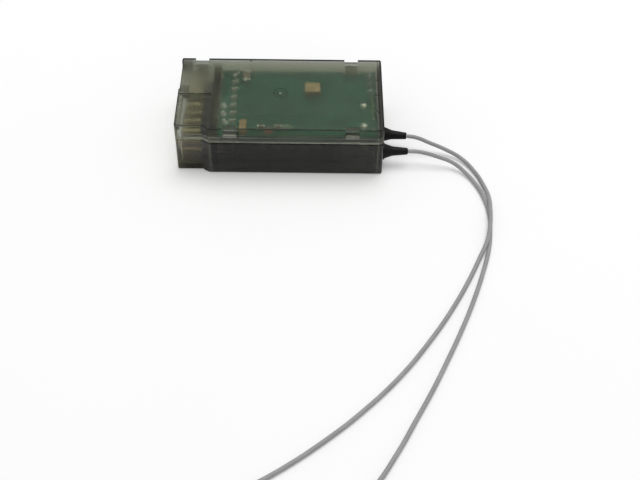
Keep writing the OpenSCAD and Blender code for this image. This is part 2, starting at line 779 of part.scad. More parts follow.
// Boot of an antenna: flange and neck in the wall, then a flare and a tapered sleeve that may lean
module antenna_boot(y, lean) {
    inside_l = wall + boot_gap + boot_flange_t;
    turn = [0, 90, -atan(lean/boot_len)];
    translate([end_r, y, boot_z]) difference() {
        union() {
            translate([-inside_l, 0, 0]) rotate([0, 90, 0]) {
                cylinder(h = boot_flange_t, r = boot_flange_r);
                cylinder(h = inside_l + 2*boot_gap, r = boot_neck_r);
            }
            translate([boot_gap, 0, 0]) rotate([0, 90, 0])
                cylinder(h = boot_base_t, r = boot_flare_r);
            translate([boot_gap, 0, 0]) rotate(turn) boot_sleeve();
        }
        // Wider bore up to the middle of the base, then one that leans with the sleeve
        translate([-inside_l - 1, 0, 0]) rotate([0, 90, 0])
            cylinder(h = inside_l + 1 + boot_gap + boot_base_t/2, r = boot_bore_r + 0.12);
        translate([boot_gap, 0, 0]) rotate(turn) cylinder(h = boot_len + 1, r = boot_bore_r);
    }
}

module boot_sleeve() {
    sleeve_len = boot_len - boot_gap;
    rotate_extrude() polygon([
        [0, boot_base_t - 0.2], [boot_flare_r - 0.15, boot_base_t - 0.2],
        [sleeve_r, boot_base_t + flare_l], [sleeve_end_r, sleeve_len - 0.15],
        [sleeve_end_r - 0.12, sleeve_len], [0, sleeve_len]
    ]);
}

module antenna_boot_back() color(black) antenna_boot(boot_back_y, boot_lean);

module antenna_boot_front() color(black) antenna_boot(boot_front_y, 0);

module antenna_cord_back() color(grey_jacket) tube(smooth(BACK_ROUTE), cord_d);

module antenna_cord_front() color(grey_jacket) tube(smooth(FRONT_ROUTE), cord_d);

module antenna_tip_back() color("white") tube(BACK_TIP, tip_d);

module antenna_tip_front() color("white") tube(FRONT_TIP, tip_d);

base_shell();
lid();
main_board();
header_block();
signal_pins();
power_pins();
ground_pins();
power_bus();
ground_bus();
signal_solder();
supply_solder();
tantalum_capacitor();
small_tantalum();
ceramic_capacitors();
chip_resistors();
red_led();
green_led();
processor_chip();
voltage_regulator();
processor_crystal();
radio_board();
radio_shield();
radio_chip();
radio_crystal();
link_header();
link_pins();
link_solder();
coax_solder_back();
coax_solder_front();
coax_lead_back();
coax_lead_front();
antenna_boot_back();
antenna_boot_front();
antenna_cord_back();
antenna_cord_front();
antenna_tip_back();
antenna_tip_front();
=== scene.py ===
"""Looks of a small radio receiver in a smoky clear case, with two coaxial antennas."""

import math

import bmesh
import bpy
from mathutils import Matrix, Vector


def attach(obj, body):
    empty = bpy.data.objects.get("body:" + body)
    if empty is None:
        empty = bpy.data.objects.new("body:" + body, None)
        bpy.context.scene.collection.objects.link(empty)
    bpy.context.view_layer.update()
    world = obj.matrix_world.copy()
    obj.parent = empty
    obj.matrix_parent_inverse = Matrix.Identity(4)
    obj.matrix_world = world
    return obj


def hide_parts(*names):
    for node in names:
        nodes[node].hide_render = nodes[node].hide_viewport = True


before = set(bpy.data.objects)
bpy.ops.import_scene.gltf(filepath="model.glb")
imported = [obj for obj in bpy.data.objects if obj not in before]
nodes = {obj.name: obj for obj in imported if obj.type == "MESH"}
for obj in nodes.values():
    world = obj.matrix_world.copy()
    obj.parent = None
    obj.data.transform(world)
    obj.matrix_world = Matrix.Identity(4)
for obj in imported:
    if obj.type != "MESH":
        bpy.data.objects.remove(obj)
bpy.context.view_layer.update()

MM = 0.001


def mm(*values):
    """Millimetres as a vector in metres."""
    return Vector(values)*MM


# Camera and cords -----------------------------------------------------------------------

# Focal length in pixels of an image 640 wide, and the angles of the view in degrees
FOCAL_PX = 1150
SENSOR_MM = 36
YAW, PITCH, ROLL = 0.58878, 46.87678, 1.0369
EYE = mm(6.9337, -187.2062, 167.1306)


def view_matrix():
    """Turns the camera's own axes (right, up, back) into the frame's."""
    cy, sy = math.cos(math.radians(YAW)), math.sin(math.radians(YAW))
    cp, sp = math.cos(math.radians(PITCH)), math.sin(math.radians(PITCH))
    cr, sr = math.cos(math.radians(ROLL)), math.sin(math.radians(ROLL))
    turn = Matrix(((cy, -sy, 0), (sy, cy, 0), (0, 0, 1)))
    tilt = Matrix(((1, 0, 0), (0, sp, cp), (0, cp, -sp)))
    roll = Matrix(((cr, sr, 0), (-sr, cr, 0), (0, 0, 1)))
    right, up, forward = roll @ tilt @ turn
    return Matrix((right, up, -forward)).transposed().to_4x4()


def make_camera():
    data = bpy.data.cameras.new("camera")
    data.sensor_width = SENSOR_MM
    data.lens = FOCAL_PX/640*SENSOR_MM
    data.clip_start, data.clip_end = 0.01, 20
    camera = bpy.data.objects.new("camera", data)
    camera.matrix_world = Matrix.Translation(EYE) @ view_matrix()
    bpy.context.scene.collection.objects.link(camera)
    bpy.context.scene.camera = camera


make_camera()

CORD_D = 0.85*MM
TIP_D = 0.5*MM
BACK_ROUTE = [
    (26.95, -3.2, 3.4), (29, -3.52, 3.26), (31.8, -4.15, 2.4), (34.9, -5, 1.5),
    (38.3, -7, 0.8), (40.9, -10.6, 0.45), (42.4, -14.6, 0.5), (43.2, -18.8, 0.9), (43.1, -23.2, 1.35),
    (42.6, -27.6, 1.35), (41.6, -31.7, 1.1), (39.9, -35.5, 0.55), (37.3, -41.3, 0.45),
    (33.4, -48.8, 0.45), (29, -56, 0.45), (23.3, -64, 0.45), (16.5, -71.6, 0.45),
    (9.7, -77.9, 0.45), (2, -83.9, 0.45), (-5, -88.4, 0.45),
]
FRONT_ROUTE = [
    (26.95, -8, 3.4), (29.4, -8.1, 3.32), (33.2, -8.6, 2.5), (36.6, -9.5, 1.55), (39.1, -11.6, 0.7),
    (40.9, -14.6, 0.45), (42.2, -18.4, 0.45), (42.9, -23, 0.45), (42.7, -28, 0.45),
    (41.9, -33.2, 0.45), (40.4, -38.6, 0.45), (37.8, -46.3, 0.45), (34.9, -53.6, 0.45),
    (31.8, -60.6, 0.45), (28.7, -67.2, 0.45), (25.4, -73.6, 0.45), (21.7, -80.6, 0.45),
    (17.4, -87.4, 0.45), (11.6, -93.4, 0.45), (4.6, -97.8, 0.45), (-3, -100.4, 0.45),
]
BACK_TIP = [(-5, -88.4, 0.45), (-12.6, -93.2, 0.4), (-22.5, -95.8, 0.3), (-33, -96.6, 0.3)]
FRONT_TIP = [(-3, -100.4, 0.45), (-12.2, -103.2, 0.4), (-22.2, -104.5, 0.3), (-32.3, -104.2, 0.3)]


def round_curve(name, route, diameter, node):
    """One open smooth curve along a route, as thick as the cord, in place of its CAD node."""
    data = bpy.data.curves.new(name, "CURVE")
    data.dimensions = "3D"
    # Each point's radius gives the thickness, so that the box of the curve is the cord's
    data.bevel_depth = 1
    data.bevel_resolution = 5
    data.use_fill_caps = True
    data.resolution_u = 8
    spline = data.splines.new("BEZIER")
    spline.bezier_points.add(len(route) - 1)
    for point, place in zip(spline.bezier_points, route):
        point.co = mm(*place)
        point.radius = diameter/2
        point.handle_left_type = point.handle_right_type = "AUTO"
    first, last = spline.bezier_points[0], spline.bezier_points[-1]
    first.handle_left_type = last.handle_right_type = "FREE"
    first.handle_left, last.handle_right = first.co, last.co
    piece = bpy.data.objects.new(name, data)
    bpy.context.scene.collection.objects.link(piece)
    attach(piece, "root")
    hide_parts(node)
    return piece


jackets = {
    "back": round_curve("antenna_jacket_back", BACK_ROUTE, CORD_D, "antenna_cord_back"),
    "front": round_curve("antenna_jacket_front", FRONT_ROUTE, CORD_D, "antenna_cord_front"),
}
tips = {
    "back": round_curve("bare_tip_back", BACK_TIP, TIP_D, "antenna_tip_back"),
    "front": round_curve("bare_tip_front", FRONT_TIP, TIP_D, "antenna_tip_front"),
}


# Rows of plated rings on the main board ---------------------------------------------------

def add_node(tree, kind, settings=None, inputs=None, out=0):
    """Adds a node: its settings first, then the values or links of its sockets."""
    node = tree.nodes.new(kind)
    for name, value in (settings or {}).items():
        setattr(node, name, value)
    for name, value in (inputs or {}).items():
        if isinstance(value, bpy.types.NodeSocket):
            tree.links.new(value, node.inputs[name])
        else:
            node.inputs[name].default_value = value
    return node.outputs[out]


RING_SIZES = {
    "Start": ("NodeSocketVector", mm(0, 0, 0)), "Step": ("NodeSocketVector", mm(1, 0, 0)),
    "Count": ("NodeSocketInt", 10), "Radius": ("NodeSocketFloat", 0.22*MM),
    "Thickness": ("NodeSocketFloat", 0.05*MM), "Kept": ("NodeSocketFloat", 0.8),
    "Seed": ("NodeSocketInt", 7),
}


def ring_row_tree(material):
    """Rings lying in an evenly spaced row in which some places are left empty."""
    tree = bpy.data.node_groups.new("ring_row", "GeometryNodeTree")
    for name, (kind, value) in RING_SIZES.items():
        socket = tree.interface.new_socket(name, in_out="INPUT", socket_type=kind)
        socket.default_value = value
    tree.interface.new_socket("Geometry", in_out="OUTPUT", socket_type="NodeSocketGeometry")
    sizes = tree.nodes.new("NodeGroupInput").outputs
    line = add_node(tree, "GeometryNodeMeshLine", {"mode": "OFFSET"}, {
        "Count": sizes["Count"], "Start Location": sizes["Start"], "Offset": sizes["Step"],
    })
    picked = add_node(tree, "FunctionNodeRandomValue", {"data_type": "BOOLEAN"}, {
        "Probability": sizes["Kept"], "Seed": sizes["Seed"],
    }, out=3)
    loop = add_node(tree, "GeometryNodeCurvePrimitiveCircle", inputs={
        "Resolution": 16, "Radius": sizes["Radius"],
    })
    profile = add_node(tree, "GeometryNodeCurvePrimitiveCircle", inputs={
        "Resolution": 8, "Radius": sizes["Thickness"],
    })
    ring = add_node(tree, "GeometryNodeCurveToMesh", inputs={"Curve": loop, "Profile Curve": profile})
    rings = add_node(tree, "GeometryNodeInstanceOnPoints", inputs={
        "Points": line, "Selection": picked, "Instance": ring,
    })
    real = add_node(tree, "GeometryNodeRealizeInstances", inputs={"Geometry": rings})
    done = add_node(tree, "GeometryNodeSetMaterial", inputs={"Geometry": real, "Material": material})
    tree.links.new(done, tree.nodes.new("NodeGroupOutput").inputs["Geometry"])
    return tree


def ring_row(name, tree, **sizes):
    """A plain mesh made by the tree with these sizes, fixed to the main board."""
    piece = bpy.data.objects.new(name, bpy.data.meshes.new(name))
    bpy.context.scene.collection.objects.link(piece)
    modifier = piece.modifiers.new("rings", "NODES")
    modifier.node_group = tree
    for item in tree.interface.items_tree:
        if item.name in sizes:
            modifier[item.identifier] = sizes[item.name]
    made = piece.evaluated_get(bpy.context.evaluated_depsgraph_get())
    mesh = bpy.data.meshes.new_from_object(made)
    piece.modifiers.clear()
    piece.data = mesh
    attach(piece, "root")


# Shader trees ---------------------------------------------------------------------------

class Value:
    """An output socket of a shader tree that can be used in arithmetic."""

    def __init__(self, shader, socket):
        self.shader, self.socket = shader, socket

    def _with(self, operation, *values):
        return self.shader.add("ShaderNodeMath", {"operation": operation}, dict(enumerate(values)))

    def __add__(self, other):
        return self._with("ADD", self, other)

    def __sub__(self, other):
        return self._with("SUBTRACT", self, other)

    def __rsub__(self, other):
        return self._with("SUBTRACT", other, self)

    def __mul__(self, other):
        return self._with("MULTIPLY", self, other)

    def __truediv__(self, other):
        return self._with("DIVIDE", self, other)

    def __gt__(self, other):
        return self._with("GREATER_THAN", self, other)

    def __lt__(self, other):
        return self._with("LESS_THAN", self, other)

    def __abs__(self):
        return self._with("ABSOLUTE", self)

    __radd__, __rmul__ = __add__, __mul__


class Shader:
    """The node tree of a material."""

    def __init__(self, name):
        self.material = bpy.data.materials.new(name)
        self.material.use_nodes = True
        self.tree = self.material.node_tree
        self.tree.nodes.clear()
        self.output = self.tree.nodes.new("ShaderNodeOutputMaterial")
        self.place = self.add("ShaderNodeTexCoord", out="Object")

    def add(self, kind, settings=None, inputs=None, out=0):
        """Adds a node: its settings first, then the values or links of its sockets."""
        node = self.tree.nodes.new(kind)
        for name, value in (settings or {}).items():
            if name == "stops":
                set_stops(node.color_ramp, value)
            else:
                setattr(node, name, value)
        for name, value in (inputs or {}).items():
            socket = node.inputs[name]
            if isinstance(value, Value):
                self.tree.links.new(value.socket, socket)
            elif isinstance(value, tuple) and len(value) == 3 and socket.type == "RGBA":
                socket.default_value = (*value, 1)
            else:
                socket.default_value = value
        return Value(self, node.outputs[out])

    def noise(self, size_mm, detail=3, stretch=(1, 1, 1), roughness=0.5):
        """Noise from 0 to 1 whose lumps are about size_mm wide."""
        scaled = self.add("ShaderNodeMapping", inputs={"Vector": self.place, "Scale": stretch})
        return self.add("ShaderNodeTexNoise", inputs={
            "Vector": scaled, "Scale": 1/(size_mm*MM), "Detail": detail, "Roughness": roughness,
        })

    def ramp(self, value, low, high):
        """Goes evenly from 0 where value is low to 1 where it is high."""
        return self.add("ShaderNodeMapRange", inputs={
            "Value": value, "From Min": low, "From Max": high, "To Min": 0.0, "To Max": 1.0,
        })

    def larger(self, first, second):
        return self.add("ShaderNodeMath", {"operation": "MAXIMUM"}, {0: first, 1: second})

    def within(self, value, low, high):
        """1 where value lies between low and high."""
        return (value > low)*(value < high)

    def axes(self):
        """The three coordinates of a point, in millimetres."""
        split = self.add("ShaderNodeSeparateXYZ", inputs={"Vector": self.place})
        outputs = split.socket.node.outputs
        return [Value(self, outputs[i])*(1/MM) for i in range(3)]

    def mix(self, share, first, second):
        """Blend of two colours."""
        node = self.add("ShaderNodeMix", {"data_type": "RGBA"}, {0: share}, out=2).socket.node
        for index, value in ((6, first), (7, second)):
            if isinstance(value, Value):
                self.tree.links.new(value.socket, node.inputs[index])
            else:
                node.inputs[index].default_value = (*value, 1)
        return Value(self, node.outputs[2])

    def bump(self, height, depth_mm, strength=1.0, after=None):
        """Normal of a surface whose relief is depth_mm deep where height goes from 0 to 1."""
        inputs = {"Height": height, "Strength": strength, "Distance": depth_mm*MM}
        if after is not None:
            inputs["Normal"] = after
        return self.add("ShaderNodeBump", inputs=inputs)

    def surface(self, shader, volume=None):
        self.tree.links.new(shader.socket, self.output.inputs["Surface"])
        if volume is not None:
            self.tree.links.new(volume.socket, self.output.inputs["Volume"])
        return self.material

    def principled(self, **inputs):
        named = {name.replace("_", " "): value for name, value in inputs.items()}
        return self.add("ShaderNodeBsdfPrincipled", inputs=named)


def set_stops(ramp, stops):
    while len(ramp.elements) < len(stops):
        ramp.elements.new(1)
    for element, (position, colour) in zip(ramp.elements, stops):
        element.position, element.color = position, (*colour, 1)


# Finishes -------------------------------------------------------------------------------

# The case, in millimetres
END, SIDE, TOP, RIM = 21.5, 11.6, 12.2, 8.4
WALL = 1
STEP_END, STEP_RUN = -14.4, 1.6
DIVIDER_Y = 0.12
SILL = 9.8
# Small ribs inside the right and the back wall of the lid, where the lid's shader paints dark lines as
# shade
MARKS_Y = (-6.1, -0.5, 4.5)
NOTCH_X = -6.6


def case_edges(s, x, y, z, reach):
    """1 along the outer edges of the case, where the plastic is looked through lengthwise: the mask of a
    painted dark outline, standing in for the shade seen there.
    """
    inset = s.ramp(x, STEP_END, STEP_END - STEP_RUN)
    ends = s.larger(s.ramp(x, END - reach, END - reach*0.4),
                    s.ramp(x, reach - END, reach*0.4 - END)*0.7)
    sides = s.larger(s.ramp(y, SIDE - reach*1.9, SIDE - reach*1.2),
                     s.ramp(y - inset, reach - SIDE, reach*0.4 - SIDE)*0.6)
    levels = s.larger(s.ramp(z, TOP - reach*0.8, TOP - reach*0.4), s.ramp(z, reach, reach*0.4))
    return s.ramp(ends + sides + levels, 1.15, 1.85)


def keys_and_bay_shadow(s, x, y, z):
    """Over the connector bay: the keys, where the plastic is thicker; a painted shadow in front of its
    divider; and the divider, where a painted dark line goes.
    """
    keys = s.within(x, -21.2, -19.2)*s.larger(s.within(y, DIVIDER_Y, 2.3), y > SIDE - 2*WALL)
    divider = s.within(y, DIVIDER_Y - 0.9, DIVIDER_Y - 0.5)*(x < STEP_END)*(z > TOP - 0.1)
    # Painted shadow on the roof in front of the divider, darkest next to it and fading towards the front
    shade = s.ramp(y, -3.6, -0.9)*s.within(y, -3.6, DIVIDER_Y - 0.85)*(x < STEP_END)
    return s.larger(keys*0.75, shade*0.6)*(z > RIM), divider


def gate_ring(s, x, y, z):
    """Rings round the place where the lid was filled in its mould, and the dot in its middle."""
    r = s.add("ShaderNodeMath", {"operation": "SQRT"}, {0: x*x + y*y})
    roof = z > TOP - WALL + 0.1
    outer = s.ramp(abs(r - 1.35), 0.3, 0.1)*0.5
    inner = s.ramp(abs(r - 0.6), 0.3, 0.1)*0.55
    return s.larger(outer, inner)*roof, s.ramp(r, 0.55, 0.2)*roof


def smoked_plastic(s, tint, haze_and_highlights, edge, blur, coat, density, lamp_tint):
    """Smoky clear plastic. Rays from lamps pass it straight, so that they reach what is inside.

    tint is the colour seen through one wall, the next argument the share of light that it scatters, as
    faint real haze and as painted highlights, edge the painted dark outline, and blur and coat
    are the roughness inside and the gloss outside.
    """
    wave = s.noise(5, detail=2)
    grain = s.noise(0.25, detail=4)
    body = s.principled(
        Base_Color=tint, Roughness=blur + grain*0.05, IOR=1.25, Transmission_Weight=1.0,
        Coat_Weight=coat*(0.9 + wave*0.2), Coat_IOR=1.45, Coat_Roughness=0.04,
        Normal=s.bump(grain, 0.002, 0.4, after=s.bump(wave, 0.02, 0.5)),
    )
    # Scattered light: a faint real haze, and painted highlights and reflections where the masks raise it
    haze_and_highlight_bsdf = s.add("ShaderNodeBsdfDiffuse", inputs={"Color": (0.6, 0.6, 0.56)})
    hazed_and_highlit = s.add("ShaderNodeMixShader", inputs={0: haze_and_highlights*(0.8 + wave*0.4), 1: body, 2: haze_and_highlight_bsdf})
    # Painted shade: a dark diffuse outline where edge is high, for the darkness of plastic seen edgewise
    outline_shade = s.add("ShaderNodeBsdfDiffuse", inputs={"Color": (0.035, 0.035, 0.032)})
    outlined = s.add("ShaderNodeMixShader", inputs={0: edge, 1: hazed_and_highlit, 2: outline_shade})
    clear = s.add("ShaderNodeBsdfTransparent", inputs={"Color": lamp_tint})
    lamp_ray = s.add("ShaderNodeLightPath", out="Is Shadow Ray")
    mixed = s.add("ShaderNodeMixShader", inputs={0: lamp_ray, 1: outlined, 2: clear})
    volume = s.add("ShaderNodeVolumeAbsorption", inputs={
        "Color": (0.62, 0.62, 0.52), "Density": density,
    })
    return s.surface(mixed, volume)


def lid_plastic():
    s = Shader("lid_plastic")
    x, y, z = s.axes()
    ring, dot = gate_ring(s, x, y, z)
    edge = case_edges(s, x, y, z, 0.5)
    ribs = s.within(x, STEP_END, STEP_END + STEP_RUN)*(z > RIM)
    roof = z > TOP - 0.1
    outside = abs(y) > SIDE - 0.1
    keys_and_shadow, divider = keys_and_bay_shadow(s, x, y, z)
    # Darker over the keys, where the plastic is thicker, and painted shadow in front of the bay's divider
    tint = s.mix(keys_and_shadow, (0.66, 0.7, 0.63), (0.16, 0.16, 0.14))
    tint = s.mix(ribs*0.35, tint, (0.42, 0.5, 0.4))
    # Painted shade: the roof is darker over the front of the bay, much more so towards its left front
    # corner
    bay_roof_shade = (x < STEP_END - 0.4)*s.ramp(y, DIVIDER_Y - 0.4, DIVIDER_Y - 1.2)*roof
    tint = s.mix(bay_roof_shade*(0.12 + s.ramp(x, -19.6, -20.4)*s.ramp(y, -3, -8)*0.5), tint, (0.16, 0.16, 0.14))
    # Painted shade: a dark line on the lid's outer walls where the inner corner of the roof is seen through
    # them. The gate rings mixed in with it are the lid's own marks.
    corner = s.ramp(abs(z - TOP + 1.45), 0.22, 0.08)*outside
    tint = s.mix(s.larger(ring, corner*0.5), tint, (0.1, 0.1, 0.09))
    # Painted light: the roof is made clearer over the solder joints, and a little hazier in the sum below,
    # so that they look brighter
    joints_painted_light = s.ramp(abs(x + 11.8), 2.2, 1.2)*s.ramp(abs(y + 4.8), 4.2, 3)*roof
    tint = s.mix(joints_painted_light, tint, (0.84, 0.88, 0.8))
    # Painted highlights, as scattered light in the sum below: on the lid's lower rim, in a line along the
    # seam that grows brighter towards the right, on the window sills, in two lines on the roof over the
    # right wall and in a band along the back; and a painted reflection that fades in over the back of the
    # roof
    rim = s.ramp(z, RIM + 1.2, RIM + 0.9)
    line = s.ramp(abs(z - RIM - 0.25), 0.25, 0.05)*outside
    sill = s.within(z, SILL - 0.1, SILL + 0.1)*(abs(y) > SIDE - WALL - 0.1)
    back_bay = (x < STEP_END)*(y > DIVIDER_Y)
    back_reflection = s.ramp(y, 8.2, 10.6)*roof*(x > STEP_END)
    wall_line = s.ramp(abs(x - END + 1.2), 0.25, 0.1)*roof
    wall_top = s.ramp(abs(x - END + 0.5), 0.35, 0.2)*roof
    back_line = s.ramp(y, 9.4, 10.9)*roof
    # Faint real haze everywhere, over the ribs and the back of the bay and at the gate's dot, added to the
    # painted highlights, reflection and joint light
    haze_and_highlights = (0.004 + wall_line*0.1 + wall_top*0.05 + rim*0.07 + line*(0.12 + s.ramp(x, -9, 0)*0.12) + dot*0.25 + sill*0.35 + ribs*0.02
            + back_bay*0.02 + joints_painted_light*0.012 + back_reflection*0.105 + back_line*0.16)
    right_end = s.ramp(x, 15.5, 17.2)*s.ramp(y, 2, 0)
    column = s.ramp(abs(x + 11), 3.4, 2.2)*s.ramp(y, 9.5, 8)
    front_bay = s.ramp(x, -15.5, -16.5)*s.ramp(y, -1, -2.5)
    clear_spot = s.larger(s.larger(right_end, column*0.7),
                          s.larger(front_bay*0.6, s.ramp(y, -6, -7.6)))
    blur = 0.26 + roof*(0.08 - clear_spot*0.15) + ribs*0.1 + back_bay*0.14
    # Painted shade: dark lines where the small inner ribs, the back notch and the inner edge of the right
    # wall are seen through the roof, and along the bay's divider
    marks = sum(s.ramp(abs(y - place), 0.25, 0.1) for place in MARKS_Y)*s.within(x, END - 1.3, END - 0.6)
    notch = s.ramp(abs(x - NOTCH_X), 0.4, 0.2)*s.ramp(y, 10.3, 10.9)
    wall_edge = s.ramp(abs(x - END + 0.88), 0.16, 0.06)
    inside = s.larger(notch, s.larger(marks, wall_edge)*0.5)*roof
    dark = s.larger(edge, s.larger(divider*0.75, inside))
    return smoked_plastic(s, tint, haze_and_highlights, dark, blur, 0.2, 600, (0.9, 0.9, 0.89))


def base_plastic():
    s = Shader("base_plastic")
    x, y, z = s.axes()
    edge = case_edges(s, x, y, z, 0.4)
    tongue = z > RIM
    # Painted light: the base's walls are made clearer towards both ends, less at the right, so that what
    # lies inside there looks lit
    ends = s.larger(s.ramp(x, -9.0, -17.0), s.ramp(x, 11.0, 20.0)*0.7)
    tint = s.mix(ends, (0.34, 0.33, 0.27), (0.62, 0.59, 0.46))
    tint = s.mix(tongue, tint, (0.75, 0.75, 0.66))
    tint = s.mix((z > TOP - WALL - 0.17)*0.7, tint, (0.1, 0.1, 0.09))
    # Painted highlights, as scattered light in the sum below: the front face of the tongues is lighter,
    # with pale bars at the sill and the top, halved on the right half; below the rim, light lines at the
    # inner corners, and painted light low down, behind the bay's front wall and in the right part. The
    # tongues also get a faint real haze.
    face = s.within(z, RIM, TOP - WALL - 0.18)*(y < WALL + 0.2 - SIDE)
    bars = s.within(z, SILL + 0.05, SILL + 0.3) + (z > TOP - WALL - 0.4)*0.3
    corners = s.ramp(abs(x - STEP_END - 0.1), 0.4, 0.1) + s.ramp(abs(x - END + WALL), 0.3, 0.05)
    low = s.ramp(z, 3.5, 0.8)*s.within(x, STEP_END - STEP_RUN, END)
    right_part = s.within(x, 12, END - WALL)*s.ramp(z, 1, 2)
    bay_front = s.ramp(x, -14.8, -16.2)*s.ramp(z, 0.5, 8)*s.ramp(y, -9.5, -10.2)
    haze_and_highlights = (face*(0.08 + bars*0.8)*(1 - 0.5*(x > 0)) + tongue*0.02
            + (z < RIM)*(corners*0.09 + low*0.05 + bay_front*0.09 + right_part*0.014))
    return smoked_plastic(s, tint, haze_and_highlights, edge, 0.22, 0.55, 1000, (0.4, 0.4, 0.37))


def laminate(name, mask, copper, seed):
    """Circuit board: groups of parallel tracks under a solder mask."""
    s = Shader(name)
    x, y, z = s.axes()
    cells = s.add("ShaderNodeMapping", inputs={"Vector": s.place, "Location": (seed, seed, 0)})
    patch = s.add("ShaderNodeTexVoronoi", {"distance": "CHEBYCHEV"}, {
        "Vector": cells, "Scale": 260, "Randomness": 0.9,
    }, out="Color")
    pick = s.add("ShaderNodeSeparateColor", inputs={"Color": patch})
    outputs = pick.socket.node.outputs
    turn, fill = Value(s, outputs[0]), Value(s, outputs[1])
    pitch = 0.5

    def tracks(along):
        saw = s.add("ShaderNodeMath", {"operation": "PINGPONG"}, {0: along, 1: pitch/2})
        return s.add("ShaderNodeMapRange", inputs={
            "Value": saw, "From Min": 0.11, "From Max": 0.14, "To Min": 0.0, "To Max": 1.0,
        })

    across = turn > 0.5
    lines = tracks(x)*across + tracks(y)*(1 - across)
    plane = fill < 0.4
    track = s.add("ShaderNodeMath", {"operation": "MAXIMUM"}, {0: lines*(fill < 0.8), 1: plane})
    cloud = s.noise(6, detail=3)
    colour = s.mix(track*0.8, mask, copper)
    colour = s.mix(cloud*0.35, colour, tuple(c*0.6 for c in mask))
    glass_cloth = s.noise(0.3, detail=2, stretch=(1, 1, 0.2))
    return s.surface(s.principled(
        Base_Color=colour, Roughness=0.28 + cloud*0.15, Specular_IOR_Level=0.45,
        Normal=s.bump(track, 0.03, 0.6, after=s.bump(glass_cloth, 0.006, 0.5)),
    ))


def moulded(name, colour, roughness, grain_mm=0.2, depth_mm=0.006, specular=0.4):
    """Opaque moulded plastic, rubber or epoxy with a fine grain and a faint cloudiness."""
    s = Shader(name)
    cloud = s.noise(3, detail=3)
    grain = s.noise(grain_mm, detail=3)
    shade = s.mix(cloud*0.5, colour, tuple(min(1, c*1.35 + 0.004) for c in colour))
    return s.surface(s.principled(
        Base_Color=shade, Roughness=roughness + grain*0.14 - 0.07,
        Specular_IOR_Level=specular, Normal=s.bump(grain, depth_mm, 0.5),
    ))


def metal(name, colour, roughness, grain_mm=0.3, stretch=(1, 1, 1), depth_mm=0.004, gloss=1.0):
    """Plated, tinned or soldered metal with a soft unevenness."""
    s = Shader(name)
    cloud = s.noise(1.2, detail=3)
    grain = s.noise(grain_mm, detail=3, stretch=stretch)
    shade = s.mix(cloud*0.6, colour, tuple(c*0.72 for c in colour))
    return s.surface(s.principled(
        Base_Color=shade, Metallic=gloss, Roughness=roughness + grain*0.16 - 0.05,
        Normal=s.bump(grain, depth_mm, 0.6),
    ))


def plated_pins():
    """Gold pins whose ends above the board took solder."""
    s = Shader("plated_pins")
    z = s.axes()[2]
    cloud = s.noise(1.2, detail=3)
    grain = s.noise(0.3, detail=3)
    gold = s.mix(cloud*0.6, (0.7, 0.62, 0.42), (0.5, 0.44, 0.3))
    return s.surface(s.principled(
        Base_Color=s.mix(z > RIM + 0.9, gold, (0.5, 0.5, 0.48)), Metallic=0.85,
        Roughness=0.36 + grain*0.16, Normal=s.bump(grain, 0.004, 0.6),
    ))


def plated_ends(name, parts, colour, roughness, plate_z=20):
    """Chip parts: moulded bodies with tinned plates at both ends.

    Each part is its middle, the axis that its ends lie on, its half length and its plates'
    length, in millimetres. The plates reach up to plate_z.
    """
    s = Shader(name)
    place = s.axes()
    ends = None
    for middle, axis, half, plate in parts:
        beside = abs(place[1 - axis] - middle[1 - axis]) < 1.8
        along = abs(place[axis] - middle[axis])
        end = beside*s.within(along, half - plate, half + 0.2)*(place[2] < plate_z)
        ends = end if ends is None else s.larger(ends, end)
    grain = s.noise(0.15, detail=3)
    cloud = s.noise(1, detail=2)
    body = s.mix(cloud*0.5, colour, tuple(c*0.7 for c in colour))
    return s.surface(s.principled(
        Base_Color=s.mix(ends, body, (0.72, 0.72, 0.7)), Metallic=ends*0.6,
        Roughness=roughness + grain*0.1 - ends*0.12, Normal=s.bump(grain, 0.004, 0.5),
    ))


def legged(name, centre, half):
    """Moulded chip whose legs, outside its square body, are tinned. In millimetres."""
    s = Shader(name)
    x, y, z = s.axes()
    out = s.add("ShaderNodeMath", {"operation": "MAXIMUM"}, {
        0: abs(x - centre[0]) - half[0], 1: abs(y - centre[1]) - half[1],
    })
    leg = out > 0.02
    grain = s.noise(0.12, detail=4)
    colour = s.mix(grain, (0.018, 0.018, 0.02), (0.034, 0.034, 0.036))
    return s.surface(s.principled(
        Base_Color=s.mix(leg, colour, (0.7, 0.7, 0.68)), Metallic=leg*1.0,
        Roughness=0.6 - leg*0.32, Normal=s.bump(grain, 0.006, 0.6),
    ))


def resin(name, colour):
    """Clear coloured resin of a small lamp on its pale base."""
    s = Shader(name)
    z = s.axes()[2]
    lens = z > 9.72
    cloud = s.noise(0.4, detail=2)
    return s.surface(s.principled(
        Base_Color=s.mix(lens, (0.75, 0.73, 0.68), colour), Roughness=0.12 + cloud*0.12,
        Coat_Weight=lens*0.8, Normal=s.bump(cloud, 0.004, 0.5),
    ))


def jacket(name, colour, roughness, along_mm):
    """Extruded jacket of a thin cord: faint draw marks, bands along it, and painted shade on its underside,
    near the floor.
    """
    s = Shader(name)
    # Painted shade: darker towards the bottom, where the cord lies on the floor
    underside_shade = s.ramp(s.axes()[2], 0.5, 0.1)
    bands = s.noise(along_mm, detail=4)
    fine = s.noise(0.18, detail=3)
    shade = s.mix(bands, tuple(c*0.8 for c in colour), tuple(min(1, c*1.2) for c in colour))
    shade = s.mix(underside_shade*0.8, shade, tuple(c*0.35 for c in colour))
    return s.surface(s.principled(
        Base_Color=shade, Roughness=roughness + fine*0.12, Specular_IOR_Level=0.4,
        Normal=s.bump(fine, 0.004, 0.5),
    ))


